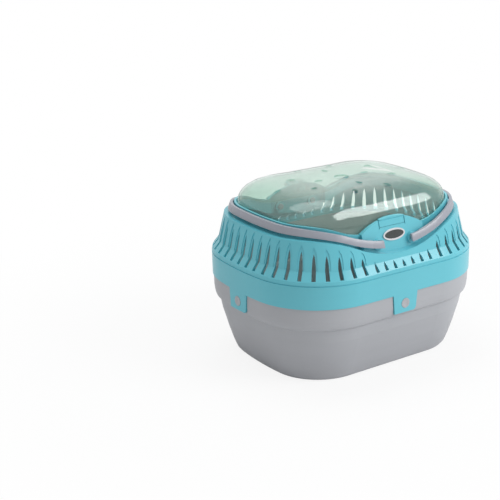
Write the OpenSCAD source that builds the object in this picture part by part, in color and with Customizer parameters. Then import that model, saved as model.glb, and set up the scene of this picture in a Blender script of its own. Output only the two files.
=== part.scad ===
// Small-animal carrier: tub, ventilated frame, clear lid, two bail handles.
// Millimetres, +Z up, origin at the middle of the resting face. The heights
// below count from a reference level that is foot_depth above that face.
// Long sides face -Y (front, with the latch) and +Y (back, with the hinge).

/* [Outline] */
// Length over the skirt
length = 300; // [260:1:340]
// Width over the skirt
width = 243; // [210:1:280]
// Radius of the four plan corners
corner_radius = 88.25; // [60:0.25:110]
// Run from the centre of an end arc to its corner centres, along the length
end_run = 315; // [150:5:500]

/* [Tub] */
// Depth of the resting face below the reference level of the heights
foot_depth = 6; // [4:0.5:8]
// Top edge of the tub, under the frame ledge
tub_top = 118.3; // [110:0.1:125]
// Wall of the tub
tub_wall = 2.6; // [2:0.1:4]
// Inset of the rebated wall that slides under the skirt
rebate_inset = 3.4; // [3:0.1:5]
// Inset of the band below the skirt
band_inset = 1.2; // [0.6:0.1:2.4]
// Depth of the feet of the floor recess
floor_step = 1.6; // [1:0.1:3]

/* [Frame] */
// Wall of the frame
frame_wall = 2.6; // [2:0.1:4]
// Bottom edge of the skirt
skirt_bottom = 91.7; // [88:0.1:96]
// Height of the shadow groove at the top of the skirt
groove_z = 118.7; // [115:0.1:122]
// Height of the foot of the sloped wall
wall_foot_z = 133; // [130:0.5:136]
// Inset of the foot of the sloped wall
wall_foot_inset = 8.2; // [6:0.1:10]
// Lean of the sloped wall, inset for each mm of height
wall_lean = 0.241; // [0.15:0.001:0.35]
// Handle ledge, height at the middle of the long sides
ledge_low = 139; // [136:0.5:144]
// Handle ledge, height round the short ends
ledge_high = 165.8; // [160:0.1:170]
// Inset of the upright rim wall
rim_inset = 28.5; // [26:0.1:32]
// Rim, height at the middle of the long sides
rim_low = 161.6; // [156:0.1:168]
// Rim, height round the short ends
rim_high = 178.8; // [174:0.1:182]

/* [Slots] */
// Foot of the slots
slot_foot = 124.5; // [123.6:0.1:126]
// Width of the long slots
slot_width = 4.8; // [3.6:0.1:6]
// Width of the short slots in the middle
short_width = 4.3; // [3.4:0.1:5]
// Downward tilt of the slot feet, in degrees
slot_tilt = 28; // [22:1:32]
// Pitch of the short slots in the middle
short_pitch = 13; // [12:0.1:14]
// Distance from the middle to the first long slot
first_long = 55; // [52:0.5:58]
// Number of long slots from the middle to an end, end slot included
long_count = 12; // [10:1:14]
// Depth of the flutes round the long slots
flute_depth = 0.8; // [0.5:0.1:1.2]
// Reach of the flutes above the slots
flute_reach = 7; // [4:0.5:7.5]

/* [Front and back panel] */
// Panel inset at the reference height
panel_inset = 21.75; // [20:0.05:24]
// Reference height of the panel
panel_z = 150; // [145:0.5:155]
// Lean of the panel, inset for each mm of height
panel_lean = 0.27; // [0.2:0.01:0.35]
// Top of the hump
hump_top = 176.8; // [174:0.1:178]
// Radius of the arched top of the hump
hump_radius = 79; // [72:1:90]
// Half width of the foot of the hump
hump_foot = 44.5; // [42:0.5:46]

/* [Latch] */
// Half width of the latch tongue
tongue_half = 18.4; // [16:0.1:20]
// Foot of the latch tongue
tongue_foot = 167; // [166:0.1:169]
// Width of the slits beside the tongue
slit = 0.8; // [0.5:0.1:1.2]
// Bottom of the slits
slit_foot = 165; // [164:0.5:166]
// Thickness of the tongue
tongue_wall = 2; // [1.6:0.1:2.4]

/* [Badge] */
// Half length of the oval badge
badge_half_length = 15.8; // [12:0.1:17]
// Half height of the oval badge
badge_half_height = 6.8; // [5:0.1:7.4]
// Height of the centre of the badge
badge_z = 156.8; // [155:0.1:157.2]
// Width of the badge ring
badge_ring_width = 2; // [1:0.1:2.5]

/* [Handles] */
// Height of the pivots
pivot_z = 149.4; // [145:0.1:153]
// Distance of the pivots from the middle
pivot_x = 24.75; // [22:0.05:28]
// Distance of the handle tips from the middle
handle_tip = 20.5; // [19:0.1:22]
// Height of the handle round the short ends
handle_high = 174; // [170:0.5:177]
// Where the handle reaches its full height
handle_run = 129.3; // [120:0.1:135]
// Height of the handle band
band_height = 8; // [7:0.5:9]
// Thickness of the handle band
handle_wall = 3.6; // [3:0.1:5]
// Inset of the outer face at the pivots
handle_inset = 13.5; // [12:0.1:16]
// Lean of the handle band
handle_lean = 0.36; // [0.2:0.01:0.45]
// Inset of the flat inner face round the pivots
handle_flat = 18.3; // [17:0.1:19]
// Diameter of the pivot pins
pin_d = 6; // [4:0.1:8]
// Radial running clearance of the pins
pin_play = 0.08; // [0.02:0.01:0.1]
// Diameter of the pivot bosses
boss_d = 13; // [10:0.5:15]

/* [Lid] */
// Top of the dome
dome_top = 204; // [195:0.5:215]
// Wall of the dome
dome_wall = 2.2; // [1.6:0.1:3]
// Gap between the dome and the rim
dome_gap = 1; // [0.6:0.1:1.5]
// Depth of the dome edge below the rim
dome_skirt = 3; // [2:0.1:5]
// Fullness of the dome
dome_full = 7; // [3:0.5:10]
// Roundness of the dome shoulder
dome_round = 1.8; // [1.2:0.1:2.5]
// Diameter of the middle vent hole
vent_middle = 18; // [12:1:24]
// Length of the small vent holes
vent_length = 12; // [8:0.5:14]

/* [Hinge] */
// Inset of the hinge axis from the back face of the skirt
hinge_inset = 21.3; // [20.9:0.1:21.6]
// Height of the hinge axis
hinge_z = 174.8; // [174:0.1:175.4]
// Diameter of the hinge knuckles
knuckle_d = 6.4; // [6:0.1:6.8]
// Diameter of the hinge pins
hinge_pin_d = 3; // [2:0.1:4]
// Length of a lid knuckle
knuckle_length = 5; // [4:0.5:5.5]
// Middle of each hinge, from the middle of the lid
hinge_x = 6.5; // [6:0.1:6.6]
// Width of a frame lug beside a knuckle
lug_width = 3; // [2.4:0.1:3.1]
// Side play of a knuckle between its lugs
knuckle_play = 0.35; // [0.2:0.05:0.5]

/* [Studs] */
// Height of the studs
stud_z = 80; // [76:0.5:84]
// Diameter of the stud heads
stud_d = 11.6; // [9:0.1:13]
// Diameter of the stud shanks
shank_d = 6.8; // [5:0.1:8]
// Top half width of a tab
tab_top_half = 18; // [15:0.5:22]
// Bottom half width of a tab
tab_bottom_half = 15.8; // [12:0.1:20]
// Bottom edge of the tabs
tab_bottom = 69; // [66:0.5:74]

/* [Hidden] */
$fn = 120;
half_l = length / 2;
half_w = width / 2;
// Middle of a corner arc, and of an end arc that is tangent to it
corner_y = half_w - corner_radius;
end_radius = corner_radius + sqrt(pow(end_run, 2) + pow(corner_y, 2));
end_x = half_l - end_radius;
corner_x = end_x + end_run;
end_angle = atan(corner_y / end_run);
// Sizes shared by pieces that meet
rim_in = rim_inset + frame_wall;
dome_inset = rim_in + dome_gap;
hinge_y = half_w - hinge_inset;
hole_play = 0.2;
tub_inner = rebate_inset + tub_wall;
rim_x0 = 30.5;
rim_x1 = 111.5;
ledge_run = 118;
slot_line = 6.6;
far = 400;

// Solid sweep of a profile round the outline. Children are a 2D profile whose
// x is minus the inset and whose y is the height, reaching far inwards. The
// four corners and the two ends meet on planes through both of their centres.
module swept() {
    for (sx = [0, 1], sy = [0, 1])
        mirror([sx, 0, 0]) mirror([0, sy, 0])
            intersection() {
                translate([corner_x, corner_y, 0])
                    rotate_extrude(angle = 90)
                        intersection() {
                            translate([corner_radius, 0]) children();
                            translate([0, -20]) square([corner_radius + 1, far]);
                        }
                translate([0, 0, -20]) linear_extrude(far)
                    polygon([[end_x, 0], [2 * corner_x - end_x, 2 * corner_y],
                             [2 * corner_x - end_x, far], [end_x, far]]);
            }
    for (sx = [0, 1])
        mirror([sx, 0, 0])
            intersection() {
                translate([end_x, 0, 0]) rotate([0, 0, -90])
                    rotate_extrude(angle = 180)
                        intersection() {
                            translate([end_radius, 0]) children();
                            translate([end_radius - corner_radius - 20, -20])
                                square([corner_radius + 21, far]);
                        }
                translate([0, 0, -20]) linear_extrude(far)
                    polygon([[corner_x, corner_y], [2 * corner_x - end_x, 2 * corner_y],
                             [2 * corner_x - end_x, -2 * corner_y], [corner_x, -corner_y]]);
            }
    rotate([90, 0, 90]) linear_extrude(2 * corner_x, center = true)
        for (s = [0, 1])
            mirror([s, 0])
                intersection() {
                    translate([half_w, 0]) children();
                    translate([-2, -20]) square([half_w + 3, far]);
                }
}

// Profile that fills inwards from a list of [inset, height] points
module inside(points) {
    first = points[0];
    last = points[len(points) - 1];
    polygon(concat([[-2 * half_w, first[1]]],
                   [for (p = points) [-p[0], p[1]]],
                   [[-2 * half_w, last[1]]]));
}

// Region of the XZ plane under an S curve that rises away from the middle
module under_rise(x0, x1, z0, z1, bottom) {
    run = x1 - x0;
    rise = z1 - z0;
    r = round(250 * (run * run + rise * rise) / rise) / 1000;
    zm = (z0 + z1) / 2;
    xm = (x0 + x1) / 2;
    for (s = [0, 1])
        mirror([s, 0]) {
            translate([-1, bottom]) square([half_l + 11, z0 - bottom]);
            difference() {
                translate([x0, bottom]) square([half_l + 10 - x0, zm - bottom]);
                translate([x0, z0 + r]) circle(r, $fn = 360);
            }
            intersection() {
                translate([xm, zm - 1]) square([x1 - xm + 1, rise / 2 + 1]);
                translate([x1, z1 - r]) circle(r, $fn = 360);
            }
            translate([x1, bottom]) square([half_l + 10 - x1, z1 - bottom]);
        }
}

// Region of the XZ plane under the arch of the hump, down to a height
module under_arch(grow, half, bottom) {
    intersection() {
        translate([0, hump_top - hump_radius]) circle(hump_radius + grow, $fn = 360);
        translate([-half, bottom]) square([2 * half, 60]);
    }
}

// XZ region made into a block along Y
module along_y(y0, y1) {
    translate([0, y1, 0]) rotate([90, 0, 0]) linear_extrude(y1 - y0) children();
}

// Inset of a leaning face at a height
function wall_at(z) = wall_foot_inset + wall_lean * (z - wall_foot_z);
function panel_at(z) = panel_inset + panel_lean * (z - panel_z);
function handle_at(z) = handle_inset + handle_lean * (z - pivot_z);

// Trapezoid of a tab in its own plane, grown by a gap
module tab_shape(gap) {
    polygon([[-tab_top_half - gap, skirt_bottom + 3],
             [-tab_bottom_half - gap, tab_bottom - gap],
             [tab_bottom_half - 2.5, tab_bottom - gap],
             [tab_bottom_half + gap, tab_bottom + 3 - gap],
             [tab_top_half + gap, skirt_bottom + 3]]);
}

// Puts a child that faces -Y at the front, back, left and right
module four_sides() {
    for (s = [0, 1]) mirror([0, s, 0]) translate([0, -half_w, 0]) children();
    for (s = [0, 1]) mirror([s, 0, 0]) translate([-half_l, 0, 0]) rotate([0, 0, -90]) children();
}

module base_tub() {
    foot = -foot_depth;
    outer = [[31, foot], [28.2, foot + 1.2], [26, foot + 3.8], [24.4, 1.6], [22, 8],
             [19.9, 14.5], [16.6, 25], [13.4, 37], [10.3, 48], [8.6, 57], [7.6, 63],
             [5.2, 65], [3.2, 66.6], [2.2, 70], [band_inset + 0.2, 76],
             [band_inset, skirt_bottom - 0.5],
             [rebate_inset, skirt_bottom - 0.5], [rebate_inset, tub_top]];
    inner = [[32, foot + 4.2], [29.6, foot + 5], [27.6, 1.4], [24.8, 8.6], [22.6, 15.3],
             [19.3, 25.7], [16.1, 37.6], [13.1, 48.6], [11.4, 57.6], [10.3, 64.4],
             [7.9, 66.6], [tub_inner, 68.6], [tub_inner, tub_top + 1]];
    color([0.55, 0.56, 0.58])
    translate([0, 0, foot_depth])
    difference() {
        swept() inside(outer);
        swept() inside(inner);
        // Recessed field under the floor leaves a foot round the edge
        swept() inside([[38, foot - 1], [38, foot + floor_step - 0.6], [39, foot + floor_step]]);
        // Pockets for the tabs, and holes for the stud shanks
        four_sides() {
            translate([0, rebate_inset, 0]) rotate([90, 0, 0])
                linear_extrude(rebate_inset + 2) tab_shape(0.6);
            translate([0, 12, stud_z]) rotate([90, 0, 0])
                cylinder(d = shank_d + hole_play, h = 14, $fn = 48);
        }
    }
}

// Outer and inner solids of the frame; shift moves the faces inwards
module frame_solid(shift) {
    wall = shift == 0
        ? [[0, tab_bottom], [0, groove_z - 0.3], [0.9, groove_z], [0.9, groove_z + 0.8],
           [0.1, groove_z + 1.2], [0.8, 123.5], [wall_foot_inset, wall_foot_z],
           [wall_at(172), 172]]
        : [[shift, tab_bottom - 1], [shift, groove_z], [shift + 3.8, groove_z],
           [shift + 3.8, wall_foot_z - 6.5], [wall_foot_inset + shift - 0.55, wall_foot_z - 1.6],
           [wall_at(wall_foot_z) + shift, wall_foot_z], [wall_at(172) + shift, 172]];
    run_back = shift == 0 ? 0 : 6;
    intersection() {
        swept() inside(wall);
        along_y(-far, far)
            under_rise(0, ledge_run - run_back, ledge_low - shift, ledge_high - 1.45 * shift, 60);
    }
}

module rim_column() {
    intersection() {
        swept() inside([[rim_inset, ledge_low - 2], [rim_inset, 190]]);
        along_y(-far, far) under_rise(rim_x0, rim_x1, rim_low, rim_high, ledge_low - 2);
    }
}

// The hump panel, inside its leaning face; shift moves the faces inwards
module hump(shift) {
    z0 = ledge_low - 1.6 - 3 * shift;
    intersection() {
        rotate([90, 0, 90]) linear_extrude(far, center = true)
            polygon([[-half_w + panel_at(z0) + shift, z0],
                     [-half_w + panel_at(180) + shift, 180],
                     [-half_w + 40, 180], [-half_w + 40, z0]]);
        along_y(-half_w, -half_w + 40)
            under_arch(-shift, hump_foot - shift, z0);
    }
}

// Inset of the outer face of the frame at a height, above the skirt
function face_at(z) = z >= wall_foot_z ? wall_at(z)
    : 0.8 + (z - 123.5) * (wall_foot_inset - 0.8) / (wall_foot_z - 123.5);

// Half width of a slot at a height
function slot_half(z, top, w) =
    let (h = top - slot_foot)
    lookup(z, [[slot_foot, w / 2], [slot_foot + h * 0.5, w * 0.47],
               [slot_foot + h * 0.8, w * 0.3], [top, 0]]);

// One slot, in a frame whose x runs along the outline. Its foot is cut on a
// tilt through the shoulder, and a long slot goes straight through the wall.
module slot(top, w) {
    t = slot_tilt;
    z1 = wall_foot_z + 3;
    long = top > z1 + 2;
    foot_top = long ? z1 : top;
    low = cos(t) * slot_foot + sin(t) * face_at(slot_foot);
    high = cos(t) * foot_top + sin(t) * face_at(foot_top);
    a = w / 2;
    b = long ? slot_half(z1, top, w) : w * 0.06;
    mid = (low + high) / 2;
    c = long ? (a + b) / 2 : w * 0.44;
    rotate([90 + t, 0, 0]) translate([0, 0, -cos(t) - sin(t) * (z1 + 2)])
        linear_extrude(23)
            polygon([[-a, low], [a, low], [c, mid], [b, high], [-b, high], [-c, mid]]);
    if (long) {
        z0 = wall_foot_z + 0.7;
        za = z0 + (top - z0) * 0.45;
        zb = z0 + (top - z0) * 0.75;
        ha = slot_half(z0, top, w);
        hb = slot_half(za, top, w);
        hc = slot_half(zb, top, w);
        translate([0, -4, 0]) rotate([90, 0, 0]) linear_extrude(17)
            polygon([[-ha, z0], [ha, z0], [hb, za], [hc, zb],
                     [0, top], [-hc, zb], [-hb, za]]);
        flute(top + flute_reach, w * 0.86);
    }
}

// Shallow pointed field round a long slot, parallel to the sloped wall
module flute(top, half) {
    z0 = wall_foot_z + 1.2;
    lean = atan(wall_lean);
    f = (top - z0) / cos(lean);
    translate([0, -wall_at(z0) - flute_depth, z0]) rotate([lean, 0, 0])
        translate([0, 12, 0]) rotate([90, 0, 0]) linear_extrude(12)
            polygon([[-half, 0], [half, 0], [half * 0.96, f * 0.45],
                     [half * 0.66, f * 0.78], [0, f],
                     [-half * 0.66, f * 0.78], [-half * 0.96, f * 0.45]]);
}

// Top of a slot by its distance from the middle of a long side
function slot_top(x) = lookup(x, [[0, 131.2], [26, 133], [39, 134.8], [55, 141.5],
                                  [70, 146], [86, 148], [105, 150.5], [125, 154.5], [142, 157]]);

module slots() {
    r = corner_radius - slot_line;
    arc = r * (90 - end_angle) * PI / 180;
    r_end = end_radius - slot_line;
    quarter = corner_x + arc + r_end * end_angle * PI / 180;
    pitch = (quarter - first_long) / (long_count - 1);
    for (sy = [0, 1]) mirror([0, sy, 0]) {
        for (i = [-3:3])
            translate([i * short_pitch, half_w, 0])
                slot(slot_top(abs(i * short_pitch)), short_width);
        for (sx = [0, 1]) mirror([sx, 0, 0])
            for (k = [0:long_count - 2]) {
                s = first_long + k * pitch;
                if (s < corner_x) {
                    translate([s, half_w, 0]) slot(slot_top(s), slot_width);
                } else if (s < corner_x + arc) {
                    a = (s - corner_x) / r * 180 / PI;
                    x = corner_x + corner_radius * sin(a);
                    translate([x, corner_y + corner_radius * cos(a), 0])
                        rotate([0, 0, -a]) slot(slot_top(x), slot_width);
                } else {
                    a = (quarter - s) / r_end * 180 / PI;
                    translate([end_x + end_radius * cos(a), end_radius * sin(a), 0])
                        rotate([0, 0, a - 90]) slot(slot_top(145), slot_width);
                }
            }
    }
    for (sx = [0, 1]) mirror([sx, 0, 0])
        translate([half_l, 0, 0]) rotate([0, 0, -90])
            slot(slot_top(145), slot_width);
}

// Frame lugs that hold a hinge pin on both sides of a lid knuckle
module frame_lugs() {
    off = knuckle_length / 2 + knuckle_play + lug_width / 2;
    for (s = [-1, 1], h = [-1, 1])
        translate([s * hinge_x + h * off - lug_width / 2, 0, 0])
            rotate([90, 0, 90]) linear_extrude(lug_width) {
                translate([hinge_y, hinge_z]) circle(d = knuckle_d, $fn = 48);
                polygon([[half_w - panel_at(hinge_z - 9) - 1.2, hinge_z - 9],
                         [hinge_y + knuckle_d / 2, hinge_z],
                         [hinge_y, hinge_z + knuckle_d / 2 - 0.6],
                         [half_w - rim_in + 0.4, hinge_top_z()],
                         [half_w - rim_in + 0.4, hinge_z - 9]]);
            }
}
function hinge_top_z() = hump_top - 0.4;

module upper_frame() {
    color([0.36, 0.73, 0.79])
    translate([0, 0, foot_depth])
    difference() {
        union() {
            frame_solid(0);
            rim_column();
            for (s = [0, 1]) mirror([0, s, 0]) {
                hump(0);
                // Pivot bosses
                for (x = [-pivot_x, pivot_x])
                    translate([x, -half_w + handle_flat + 0.4, pivot_z]) rotate([-90, 0, 0])
                        cylinder(d = boss_d, h = 8.2, $fn = 64);
            }
            frame_lugs();
        }
        frame_solid(frame_wall);
        swept() inside([[rim_in, ledge_low - 12], [rim_in, 195]]);
        for (s = [0, 1]) mirror([0, s, 0]) difference() {
            hump(frame_wall);
            for (x = [-pivot_x, pivot_x])
                translate([x, -half_w, pivot_z]) rotate([-90, 0, 0])
                    cylinder(d = boss_d, h = handle_flat + 8.6, $fn = 64);
        }
        // Everything below the skirt but the four tabs
        difference() {
            translate([-far / 2, -far / 2, tab_bottom - 5])
                cube([far, far, skirt_bottom - tab_bottom + 5]);
            four_sides()
                translate([0, 12, 0]) rotate([90, 0, 0]) linear_extrude(14) tab_shape(0);
        }
        four_sides()
            translate([0, 8, stud_z]) rotate([90, 0, 0])
                cylinder(d = stud_d + 2 * hole_play, h = 10, $fn = 64);
        slots();
        // Pivot bores
        for (x = [-pivot_x, pivot_x])
            translate([x, -half_w, pivot_z]) rotate([-90, 0, 0])
                cylinder(d = pin_d + 2 * pin_play, h = width, $fn = 48);
        // Window and slits of the latch tongue
        translate([-tongue_half - slit / 2, -half_w + 18, tongue_foot - 0.5])
            cube([2 * tongue_half + slit, 18, 30]);
        for (s = [-1, 1])
            translate([s * (tongue_half + slit / 2) - slit / 2, -half_w + 18, slit_foot])
                cube([slit, 18, 30]);
        // Pin bores of the hinge
        translate([-30, hinge_y, hinge_z]) rotate([0, 90, 0])
            cylinder(d = hinge_pin_d + 0.04, h = 60, $fn = 32);
    }
}

// Points of the outline at an inset, by arc
function corner_pts(inset, n) = [for (i = [0:n])
    let (a = i * (90 - end_angle) / n)
    [corner_x + (corner_radius - inset) * sin(a), corner_y + (corner_radius - inset) * cos(a)]];
function end_pts(inset, n) = [for (i = [1:n - 1])
    let (a = end_angle - i * end_angle / n)
    [end_x + (end_radius - inset) * cos(a), (end_radius - inset) * sin(a)]];
function side_pts(inset, n) = [for (i = [1:n - 1]) [corner_x * i / n, half_w - inset]];
function quarter_pts(inset) = concat([[0, half_w - inset]], side_pts(inset, 7),
                                     corner_pts(inset, 13), end_pts(inset, 2));
function flip(q, sx, sy) = [for (i = [len(q) - 1:-1:1]) [sx * q[i][0], sy * q[i][1]]];
function ring_pts(inset) = let (q = quarter_pts(inset), e = [half_l - inset, 0])
    concat(q, [e], flip(q, 1, -1), [for (p = q) [-p[0], -p[1]]], [-e], flip(q, -1, 1));
// Height of the rim over x
function rise_z(x, x0, x1, z0, z1) = let (run = x1 - x0, rise = z1 - z0,
        r = (run * run + rise * rise) / (4 * rise), a = abs(x))
    a <= x0 ? z0 : a >= x1 ? z1
    : a < (x0 + x1) / 2 ? z0 + r - sqrt(r * r - pow(a - x0, 2))
                        : z1 - r + sqrt(r * r - pow(x1 - a, 2));
function rim_z(x) = rise_z(x, rim_x0, rim_x1, rim_low, rim_high);
function dome_part(u) = pow(1 - pow(u, dome_full), 1 / dome_round);

// One layer of the dome, at a share of the way from the middle
function layer(base, u, top) = [for (p = base)
    [p[0] * u, p[1] * u, rim_z(p[0]) + (top - rim_z(p[0])) * dome_part(u)]];

module dome_shell() {
    shares = [1, 0.985, 0.96, 0.92, 0.85, 0.75, 0.58, 0.35];
    outer = ring_pts(dome_inset);
    inner = ring_pts(dome_inset + dome_wall);
    n = len(outer);
    out_layers = concat([[for (p = outer) [p[0], p[1], rim_z(p[0]) - dome_skirt]]],
                        [for (u = shares) layer(outer, u, dome_top)]);
    in_layers = concat([[for (p = inner) [p[0], p[1], rim_z(p[0]) - dome_skirt]]],
                       [for (u = shares) layer(inner, u, dome_top - dome_wall)]);
    m = len(out_layers);
    points = concat([for (l = out_layers) for (p = l) p], [[0, 0, dome_top]],
                    [for (l = in_layers) for (p = l) p], [[0, 0, dome_top - dome_wall]]);
    half = m * n + 1;
    top_o = m * n;
    top_i = 2 * m * n + 1;
    faces = concat(
        [for (j = [0:m - 2], i = [0:n - 1]) let (k = (i + 1) % n)
            each [[j * n + i, (j + 1) * n + i, (j + 1) * n + k], [j * n + i, (j + 1) * n + k, j * n + k]]],
        [for (i = [0:n - 1]) [(m - 1) * n + i, top_o, (m - 1) * n + (i + 1) % n]],
        [for (j = [0:m - 2], i = [0:n - 1]) let (k = (i + 1) % n)
            each [[half + j * n + i, half + (j + 1) * n + k, half + (j + 1) * n + i],
                  [half + j * n + i, half + j * n + k, half + (j + 1) * n + k]]],
        [for (i = [0:n - 1]) [half + (m - 1) * n + i, half + (m - 1) * n + (i + 1) % n, top_i]],
        [for (i = [0:n - 1]) let (k = (i + 1) % n)
            each [[i, k, half + k], [i, half + k, half + i]]]);
    polyhedron(points, [for (f = faces) [f[0], f[2], f[1]]], convexity = 6);
}

// Leaf-shaped vent hole, long way along x
module leaf() {
    l = vent_length / 2;
    translate([0, 0, dome_top - 40]) linear_extrude(60)
        polygon([[-l, 0], [-l * 0.5, l * 0.42], [0, l * 0.58], [l * 0.5, l * 0.42],
                 [l, 0], [l * 0.5, -l * 0.42], [0, -l * 0.58], [-l * 0.5, -l * 0.42]]);
}

module dome_lid() {
    color([0.72, 0.84, 0.82, 0.35])
    translate([0, 0, foot_depth])
    difference() {
        union() {
            dome_shell();
            // Hinge arms over the back hump, with their knuckles
            for (s = [-1, 1])
                translate([s * hinge_x - knuckle_length / 2, 0, 0])
                    rotate([90, 0, 90]) linear_extrude(knuckle_length) {
                        translate([hinge_y, hinge_z]) circle(d = knuckle_d, $fn = 48);
                        polygon([[half_w - dome_inset - 0.6, hump_top + 0.7],
                                 [half_w - dome_inset - 0.6, rim_low + 6],
                                 [half_w - dome_inset - 4.6, rim_low + 6],
                                 [half_w - dome_inset - 5, hump_top + 3.4],
                                 [hinge_y - 0.4, hinge_z + knuckle_d / 2 + 1.4],
                                 [hinge_y + 2.6, hinge_z + 2.2],
                                 [hinge_y, hump_top + 0.7]]);
                    }
            // Catch for the latch tongue
            translate([-8, -half_w + dome_inset - 0.4, hump_top - 6.9]) cube([16, 3.4, 2.2]);
        }
        cylinder(d = vent_middle, h = far, $fn = 48);
        for (a = [0:90:270]) rotate([0, 0, a]) translate([34, 0, 0]) leaf();
        for (a = [22.5:45:360]) rotate([0, 0, a]) translate([62, 0, 0]) leaf();
        for (a = [0, 180]) rotate([0, 0, a]) translate([93, 0, 0]) leaf();
        translate([-30, hinge_y, hinge_z]) rotate([0, 90, 0])
            cylinder(d = hinge_pin_d + 0.14, h = 60, $fn = 32);
    }
}

module latch_tongue() {
    z0 = tongue_foot;
    z1 = hump_top - 2.9;
    color([0.36, 0.73, 0.79])
    translate([0, 0, foot_depth]) intersection() {
        rotate([90, 0, 90]) linear_extrude(2 * tongue_half - slit, center = true)
            polygon([[-half_w + panel_at(z0), z0],
                     [-half_w + panel_at(z1), z1],
                     [-half_w + panel_at(z1) - 1.4, z1 + 1.6],
                     [-half_w + panel_at(z1) - 1.2, z1 + 3.4],
                     [-half_w + panel_at(z1) + 0.6, z1 + 4.2],
                     [-half_w + rim_in - 0.3, z1 + 3.8],
                     [-half_w + rim_in - 0.1, z1 + 1.4],
                     [-half_w + panel_at(z1) + tongue_wall, z1 - 0.8],
                     [-half_w + panel_at(z0) + tongue_wall, z0]]);
        along_y(-half_w, 0) under_arch(1.1, tongue_half + 1, z0 - 1);
    }
}

// Ellipse by its half axes
module oval(a, b) {
    polygon([for (i = [0:5:355]) [a * cos(i), b * sin(i)]]);
}

// Lays a drawing flat on the front panel at the badge place
module on_panel() {
    translate([0, -half_w + panel_at(badge_z), foot_depth + badge_z])
        rotate([90 - atan(panel_lean), 0, 0]) translate([0, 0, 0.02]) children();
}

module badge_ring() {
    color([0.75, 0.76, 0.78])
    on_panel() difference() {
        linear_extrude(1.5) oval(badge_half_length, badge_half_height);
        translate([0, 0, -1]) linear_extrude(4)
            oval(badge_half_length - badge_ring_width, badge_half_height - badge_ring_width);
    }
}

module badge_plate() {
    gap = 0.1;
    color([0.08, 0.12, 0.11])
    on_panel() linear_extrude(0.9)
        oval(badge_half_length - badge_ring_width - gap, badge_half_height - badge_ring_width - gap);
}

module handle_right() {
    z0 = pivot_z - band_height;
    z1 = handle_high + band_height;
    low = pivot_z - band_height / 2;
    high = handle_high - band_height / 2;
    color([0.62, 0.63, 0.66])
    translate([0, 0, foot_depth]) {
        difference() {
            intersection() {
                swept() inside([[handle_at(z0), z0], [handle_at(z1), z1]]);
                along_y(-far / 2, far / 2) difference() {
                    under_rise(0, handle_run, low + band_height, high + band_height, 100);
                    under_rise(0, handle_run, low, high, 90);
                    translate([-far, 0]) square([far + handle_tip, far]);
                }
            }
            swept() inside([[handle_at(z0 - 1) + handle_wall, z0 - 1],
                            [handle_at(z1 + 1) + handle_wall, z1 + 1]]);
            translate([0, -half_w + handle_flat, pivot_z - 30])
                cube([34, width - 2 * handle_flat, 60]);
        }
        for (s = [0, 1]) mirror([0, s, 0])
            translate([pivot_x, -half_w + handle_flat - 0.6, pivot_z]) rotate([-90, 0, 0]) {
                cylinder(d = pin_d, h = 10.6, $fn = 48);
                translate([0, 0, 9.4]) cylinder(d = pin_d + 1.6, h = 1.6, $fn = 48);
            }
    }
}

module handle_left() {
    mirror([1, 0, 0]) handle_right();
}

// A stud that faces -Y, at the skirt face
module stud() {
    head_back = rebate_inset - 0.02;
    color([0.6, 0.61, 0.63])
    rotate([90, 0, 0]) {
        difference() {
            translate([0, 0, -head_back]) cylinder(d = stud_d, h = head_back + 0.3, $fn = 64);
            translate([0, 0, 13.2]) sphere(d = 27, $fn = 64);
        }
        translate([0, 0, -tub_inner - 0.6]) cylinder(d = shank_d, h = tub_inner, $fn = 48);
        translate([0, 0, -tub_inner - 1.8]) cylinder(d = shank_d + 3, h = 1.7, $fn = 48);
    }
}

module snap_stud_front() {
    translate([0, -half_w, foot_depth + stud_z]) stud();
}

module snap_stud_back() {
    mirror([0, 1, 0]) snap_stud_front();
}

module snap_stud_left() {
    translate([-half_l, 0, foot_depth + stud_z]) rotate([0, 0, -90]) stud();
}

module snap_stud_right() {
    mirror([1, 0, 0]) snap_stud_left();
}

// A hinge pin through one pair of frame lugs
module hinge_pin_right() {
    reach = knuckle_length / 2 + knuckle_play + lug_width;
    color([0.7, 0.71, 0.73])
    translate([hinge_x - reach - 0.3, hinge_y, foot_depth + hinge_z]) rotate([0, 90, 0]) {
        cylinder(d = hinge_pin_d, h = 2 * reach + 0.35, $fn = 32);
        translate([0, 0, 2 * reach + 0.35]) cylinder(d = hinge_pin_d + 1.8, h = 1, $fn = 32);
    }
}

module hinge_pin_left() {
    mirror([1, 0, 0]) hinge_pin_right();
}

base_tub();
upper_frame();
dome_lid();
latch_tongue();
handle_left();
handle_right();
badge_ring();
badge_plate();
snap_stud_front();
snap_stud_back();
snap_stud_left();
snap_stud_right();
hinge_pin_left();
hinge_pin_right();
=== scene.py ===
import bpy
from math import cos, radians, sin
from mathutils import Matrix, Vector


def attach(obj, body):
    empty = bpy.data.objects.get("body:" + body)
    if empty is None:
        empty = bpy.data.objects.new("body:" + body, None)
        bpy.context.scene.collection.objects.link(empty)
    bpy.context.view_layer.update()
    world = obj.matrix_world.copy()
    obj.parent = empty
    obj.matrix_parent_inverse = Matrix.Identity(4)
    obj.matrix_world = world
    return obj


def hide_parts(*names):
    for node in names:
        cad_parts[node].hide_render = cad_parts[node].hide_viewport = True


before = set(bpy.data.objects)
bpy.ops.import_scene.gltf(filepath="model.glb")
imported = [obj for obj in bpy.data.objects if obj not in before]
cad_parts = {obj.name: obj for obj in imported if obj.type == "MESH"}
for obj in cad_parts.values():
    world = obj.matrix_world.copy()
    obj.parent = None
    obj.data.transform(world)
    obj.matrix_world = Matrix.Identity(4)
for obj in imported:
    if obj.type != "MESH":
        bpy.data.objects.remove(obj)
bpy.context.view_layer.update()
bpy.ops.object.select_all(action="DESELECT")

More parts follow.
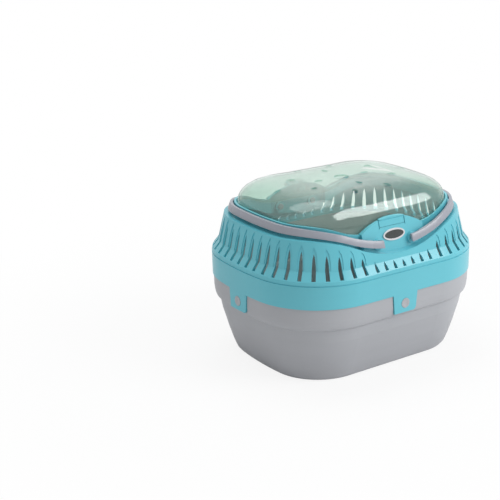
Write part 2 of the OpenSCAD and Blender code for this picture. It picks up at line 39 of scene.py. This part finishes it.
# ---------------------------------------------------------------- camera
# The camera stands where the photographer's did: ahead of the carrier and to
# its left, a little above it. The carrier sits right of the middle of the
# frame, so the lens is shifted instead of turned.
look_at = Vector((0, 0, 0.0908))
distance = 1.35
turn, tilt = radians(-37.18), radians(19.46)
back = Vector((sin(turn) * cos(tilt), -cos(turn) * cos(tilt), sin(tilt)))
bpy.ops.object.camera_add(location=look_at + back * distance,
                          rotation=back.to_track_quat("Z", "Y").to_euler())
camera = bpy.context.object
camera.name = "camera"
camera.data.sensor_width = 36
camera.data.lens = 79.2
camera.data.shift_x = -0.183
camera.data.shift_y = 0.0414
camera.data.clip_start = 0.01
camera.data.clip_end = 30
scene = bpy.context.scene
scene.camera = camera
scene.view_settings.view_transform = "Standard"


# ---------------------------------------------------------------- studio
# A white floor that fades into a white room, a large softbox ahead and to the
# right, and a wide soft top light. Wire turns arithmetic on a socket into Math
# nodes, and Finish holds one material.
class Wire:
    def __init__(self, finish, socket):
        self.finish = finish
        self.socket = socket

    def calc(self, operation, *values):
        made = self.finish.tree.nodes.new("ShaderNodeMath")
        made.operation = operation
        for socket, value in zip(made.inputs, values):
            self.finish.feed(socket, value)
        return Wire(self.finish, made.outputs[0])

    def __add__(self, other):
        return self.calc("ADD", self, other)

    def __radd__(self, other):
        return self.calc("ADD", other, self)

    def __sub__(self, other):
        return self.calc("SUBTRACT", self, other)

    def __rsub__(self, other):
        return self.calc("SUBTRACT", other, self)

    def __mul__(self, other):
        return self.calc("MULTIPLY", self, other)

    def __rmul__(self, other):
        return self.calc("MULTIPLY", other, self)

    def __pow__(self, other):
        return self.calc("POWER", self, other)

    def limit(self):
        return self.calc("MINIMUM", self.calc("MAXIMUM", self, 0.0), 1.0)


class Finish:
    def __init__(self, name):
        self.material = bpy.data.materials.new(name)
        self.material.use_nodes = True
        self.tree = self.material.node_tree
        self.shader = self.tree.nodes["Principled BSDF"]
        self.output = self.tree.nodes["Material Output"]

    def feed(self, socket, value):
        if isinstance(value, Wire):
            self.tree.links.new(value.socket, socket)
        else:
            socket.default_value = value

    def node(self, kind, settings=None, inputs=None, output=0):
        made = self.tree.nodes.new("ShaderNode" + kind)
        for name, value in (settings or {}).items():
            setattr(made, name, value)
        for name, value in (inputs or {}).items():
            self.feed(made.inputs[name], value)
        return Wire(self, made.outputs[output])

    def place(self):
        return self.node("TexCoord", output="Object")

    def noise(self, scale, detail=2.0, rough=0.5, stretch=(1, 1, 1)):
        where = self.node("Mapping", inputs={"Vector": self.place(), "Scale": stretch})
        return self.node("TexNoise", inputs={"Vector": where, "Scale": scale,
                                             "Detail": detail, "Roughness": rough})

    def between(self, value, low, high):
        return self.node("MapRange", inputs={"Value": value, "From Min": low, "From Max": high})

    def mix(self, share, first, second):
        return self.node("Mix", {"data_type": "RGBA"}, {0: share, 6: first, 7: second}, output=2)

    def bump(self, height, depth):
        return self.node("Bump", inputs={"Height": height, "Distance": depth, "Strength": 1.0})

    def set(self, **values):
        for name, value in values.items():
            self.feed(self.shader.inputs[name.replace("_", " ")], value)
        return self

    def put_on(self, piece):
        if not piece.data.materials:
            piece.data.materials.append(None)
        for i in range(len(piece.data.materials)):
            piece.data.materials[i] = self.material


def srgb(red, green, blue, alpha=1.0):
    """A colour read in a picture, 0 to 255, as the shaders take it."""
    made = []
    for value in (red, green, blue):
        share = value / 255
        made.append(share / 12.92 if share < 0.04045 else ((share + 0.055) / 1.055) ** 2.4)
    return (*made, alpha)


sweep = Finish("white sweep")
sweep.set(Base_Color=(0.88, 0.88, 0.88, 1), Roughness=0.9)
across = sweep.node("SeparateXYZ", inputs={"Vector": sweep.place()})
along = sweep.node("SeparateXYZ", inputs={"Vector": sweep.place()}, output=1)
away = (across * across + along * along) ** 0.5
glow = sweep.node("Emission", inputs={"Color": (1, 1, 1, 1), "Strength": 1})
lit = Wire(sweep, sweep.shader.outputs[0])
near_white = 0.86
fade_from, fade_to = 0.16, 0.6
faded = near_white + (1 - near_white) * sweep.between(away, fade_from, fade_to)
white = sweep.node("MixShader", inputs={0: faded, 1: lit, 2: glow})
in_camera = sweep.node("LightPath", output="Is Camera Ray")
shown = sweep.node("MixShader", inputs={0: in_camera, 1: lit, 2: white})
sweep.tree.links.new(shown.socket, sweep.output.inputs["Surface"])
bpy.ops.mesh.primitive_circle_add(vertices=96, radius=9, fill_type="NGON", location=(0, 0, 0))
floor = bpy.context.object
floor.name = "floor"
sweep.put_on(floor)

world = bpy.data.worlds.new("pale room")
scene.world = world
world.use_nodes = True
room = world.node_tree
room_light = room.nodes["Background"]
room_light.inputs["Color"].default_value = (1, 1, 1, 1)
path = room.nodes.new("ShaderNodeLightPath")


def room_calc(operation, first, second):
    made = room.nodes.new("ShaderNodeMath")
    made.operation = operation
    for socket, value in zip(made.inputs, (first, second)):
        if isinstance(value, float):
            socket.default_value = value
        else:
            room.links.new(value, socket)
    return made.outputs[0]


in_view = room_calc("MAXIMUM", path.outputs["Is Camera Ray"],
                    room_calc("MAXIMUM", path.outputs["Is Glossy Ray"],
                              path.outputs["Is Transmission Ray"]))
fill = 0.45
room.links.new(room_calc("ADD", room_calc("MULTIPLY", in_view, 1 - fill), fill),
               room_light.inputs["Strength"])


def softbox(name, place, aim, width, height, watts, shade=(1, 1, 1)):
    bpy.ops.object.light_add(type="AREA", location=place)
    lamp = bpy.context.object
    lamp.name = name
    lamp.rotation_euler = (Vector(place) - Vector(aim)).to_track_quat("Z", "Y").to_euler()
    lamp.data.shape = "RECTANGLE"
    lamp.data.size = width
    lamp.data.size_y = height
    lamp.data.energy = watts
    lamp.data.color = shade
    return lamp


softbox("key_softbox", (1.1, -1.5, 1.3), (0, 0, 0.08), 1.2, 1.0, 26)
softbox("top_softbox", (0, 0.5, 1.7), (0, 0, 0.1), 1.6, 1.0, 12)


# ---------------------------------------------------------------- base tub
# The lower half of the carrier: one deep tub of grey polypropylene, with a fine
# matt grain from the mould, faint flow lines, and scuffs that are densest round
# the foot.
def moulded(name, shade, dark, rough, grain=0.00003, wear=0.35):
    """Moulded plastic: colour drifts a little, grain and scuffs catch the light."""
    made = Finish(name)
    drift = made.noise(9, 3)
    flow = made.noise(30, 2, stretch=(0.4, 0.4, 3))
    specks = made.noise(1400, 1)
    scuffs = made.between(made.noise(60, 6, 0.7, (1, 1, 5)), 0.62, 0.78)
    height = made.node("SeparateXYZ", inputs={"Vector": made.place()}, output=2)
    low = 1 - made.between(height, 0.0, 0.03)
    rubbed = (scuffs * (0.35 + 0.65 * low)).limit() * wear
    tone = (drift * 0.6 + flow * 0.25 + specks * 0.15).limit()
    body = made.mix(made.between(tone, 0.3, 0.7), dark, shade)
    pale = tuple(min(1.0, v * 1.25 + 0.04) for v in shade[:3]) + (1,)
    made.set(Base_Color=made.mix(rubbed, body, pale),
             Roughness=(rough + 0.10 * (drift - 0.5) + 0.12 * rubbed).limit(),
             Normal=made.bump(specks + 0.4 * made.noise(420, 2), grain))
    return made


tub_plastic = moulded("tub polypropylene", srgb(176, 178, 183), srgb(170, 172, 177), 0.42)
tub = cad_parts["base_tub"]
tub_plastic.put_on(tub)

# ---------------------------------------------------------------- upper frame
# The ventilated upper half: turquoise polypropylene with a satin skin. Skirt,
# tabs, slotted wall, ledge, rim and the two humped panels are one moulding.
frame_plastic = moulded("turquoise polypropylene", srgb(103, 196, 211), srgb(98, 189, 204), 0.3,
                        0.00002, 0.2)
frame_plastic.put_on(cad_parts["upper_frame"])

# ---------------------------------------------------------------- latch tongue
# The press tongue between the two slits is the frame's own plastic.
frame_plastic.put_on(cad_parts["latch_tongue"])


# ---------------------------------------------------------------- handles
# Two bails of harder grey plastic, a little glossier than the tub. Each is a
# merged copy of its solid, which takes the solid's place, with its edges broken
# by half a millimetre.
same_point = 0.00001
flat = 0.002
sharp, crease = radians(40), radians(38)
broken_edge = 0.0005


def softened(node, radius):
    """A copy of one CAD node with its edges broken and its faces smooth."""
    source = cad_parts[node]
    copy = source.copy()
    copy.data = source.data.copy()
    copy.name = node + "_softened"
    bpy.context.collection.objects.link(copy)
    bpy.ops.object.select_all(action="DESELECT")
    copy.select_set(True)
    bpy.context.view_layer.objects.active = copy
    bpy.ops.object.mode_set(mode="EDIT")
    bpy.ops.mesh.select_all(action="SELECT")
    bpy.ops.mesh.remove_doubles(threshold=same_point)
    bpy.ops.mesh.dissolve_limited(angle_limit=flat)
    bpy.ops.object.mode_set(mode="OBJECT")
    if radius:
        bevel = copy.modifiers.new("edge", "BEVEL")
        bevel.width = radius
        bevel.segments = 2
        bevel.limit_method = "ANGLE"
        bevel.angle_limit = sharp
        bpy.ops.object.modifier_apply(modifier="edge")
    bpy.ops.object.shade_smooth_by_angle(angle=crease)
    return copy


handle_plastic = moulded("handle plastic", srgb(160, 163, 173), srgb(154, 157, 167), 0.28,
                         0.000015, 0.25)
for side in ("left", "right"):
    handle = softened("handle_" + side, broken_edge)
    handle_plastic.put_on(handle)
    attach(handle, side + "_handle")
    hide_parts("handle_" + side)

# ---------------------------------------------------------------- clear lid
# The domed lid: one clear styrene moulding, a smooth-shaded copy of its solid.
# It lets light straight through, and mirrors the room more the flatter it is
# seen, from 4 in a hundred face on. A small even share of haze makes it milky;
# the pale grey-green share that grows where it is seen flat is a painted reflection.
clear = Finish("clear styrene")
facing = clear.node("LayerWeight", inputs={"Blend": 0.5}, output="Facing")
face_on = 0.04
glance = (face_on + (1 - face_on) * facing ** 5.0).limit()
haze = clear.between(clear.noise(45, 5, 0.6), 0.45, 0.8)
through = clear.node("BsdfTransparent", inputs={"Color": (0.86, 0.955, 0.915, 1)})
mirror = clear.node("BsdfGlossy", inputs={"Color": (1, 1, 1, 1), "Roughness": 0.03})
skin = clear.node("MixShader", inputs={0: glance, 1: through, 2: mirror})
# Pale grey-green base colour: the small even share with noise is milky haze, and the extra share
# at grazing angles is a painted reflection of the room and top softbox.
clear.set(Base_Color=srgb(198, 218, 206), Roughness=0.12)
haze_and_painted_reflection = clear.node("MixShader", inputs={0: 0.1 + 0.06 * haze + 0.3 * glance, 1: skin,
                                        2: Wire(clear, clear.shader.outputs[0])})
clear.tree.links.new(haze_and_painted_reflection.socket, clear.output.inputs["Surface"])
dome = softened("dome_lid", 0)
clear.put_on(dome)
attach(dome, "lid")
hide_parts("dome_lid")

# ---------------------------------------------------------------- badge
# An oval plate in a bright ring on the front panel. The plate is left bare.
bright = Finish("bright plating")
dull_chrome, clean_chrome = (0.62, 0.63, 0.65, 1), (0.74, 0.75, 0.77, 1)
bright.set(Base_Color=bright.mix(bright.noise(300, 3), dull_chrome, clean_chrome),
           Metallic=1.0, Roughness=0.12 + 0.1 * bright.noise(90, 4))
bright.put_on(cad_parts["badge_ring"])
dark = Finish("dark plate")
dark.set(Base_Color=dark.mix(dark.noise(200, 3), (0.012, 0.018, 0.017, 1), (0.03, 0.04, 0.038, 1)),
         Roughness=0.12 + 0.15 * dark.noise(80, 4), Coat_Weight=0.5)
dark.put_on(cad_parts["badge_plate"])

# ---------------------------------------------------------------- snap studs
# Grey studs with a dished head: the tabs of the frame snap over them.
for side in ("front", "back", "left", "right"):
    tub_plastic.put_on(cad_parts["snap_stud_" + side])

# ---------------------------------------------------------------- hinge pins
# Two short wire pins with a headed end carry the lid at the back.
wire = Finish("steel wire")
drawn = wire.noise(500, 3, 0.5, (0.1, 1, 1))
wire.set(Base_Color=wire.mix(drawn, (0.5, 0.5, 0.52, 1), (0.66, 0.66, 0.68, 1)),
         Metallic=1.0, Roughness=0.25 + 0.15 * wire.noise(150, 3))
for side in ("left", "right"):
    wire.put_on(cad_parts["hinge_pin_" + side])
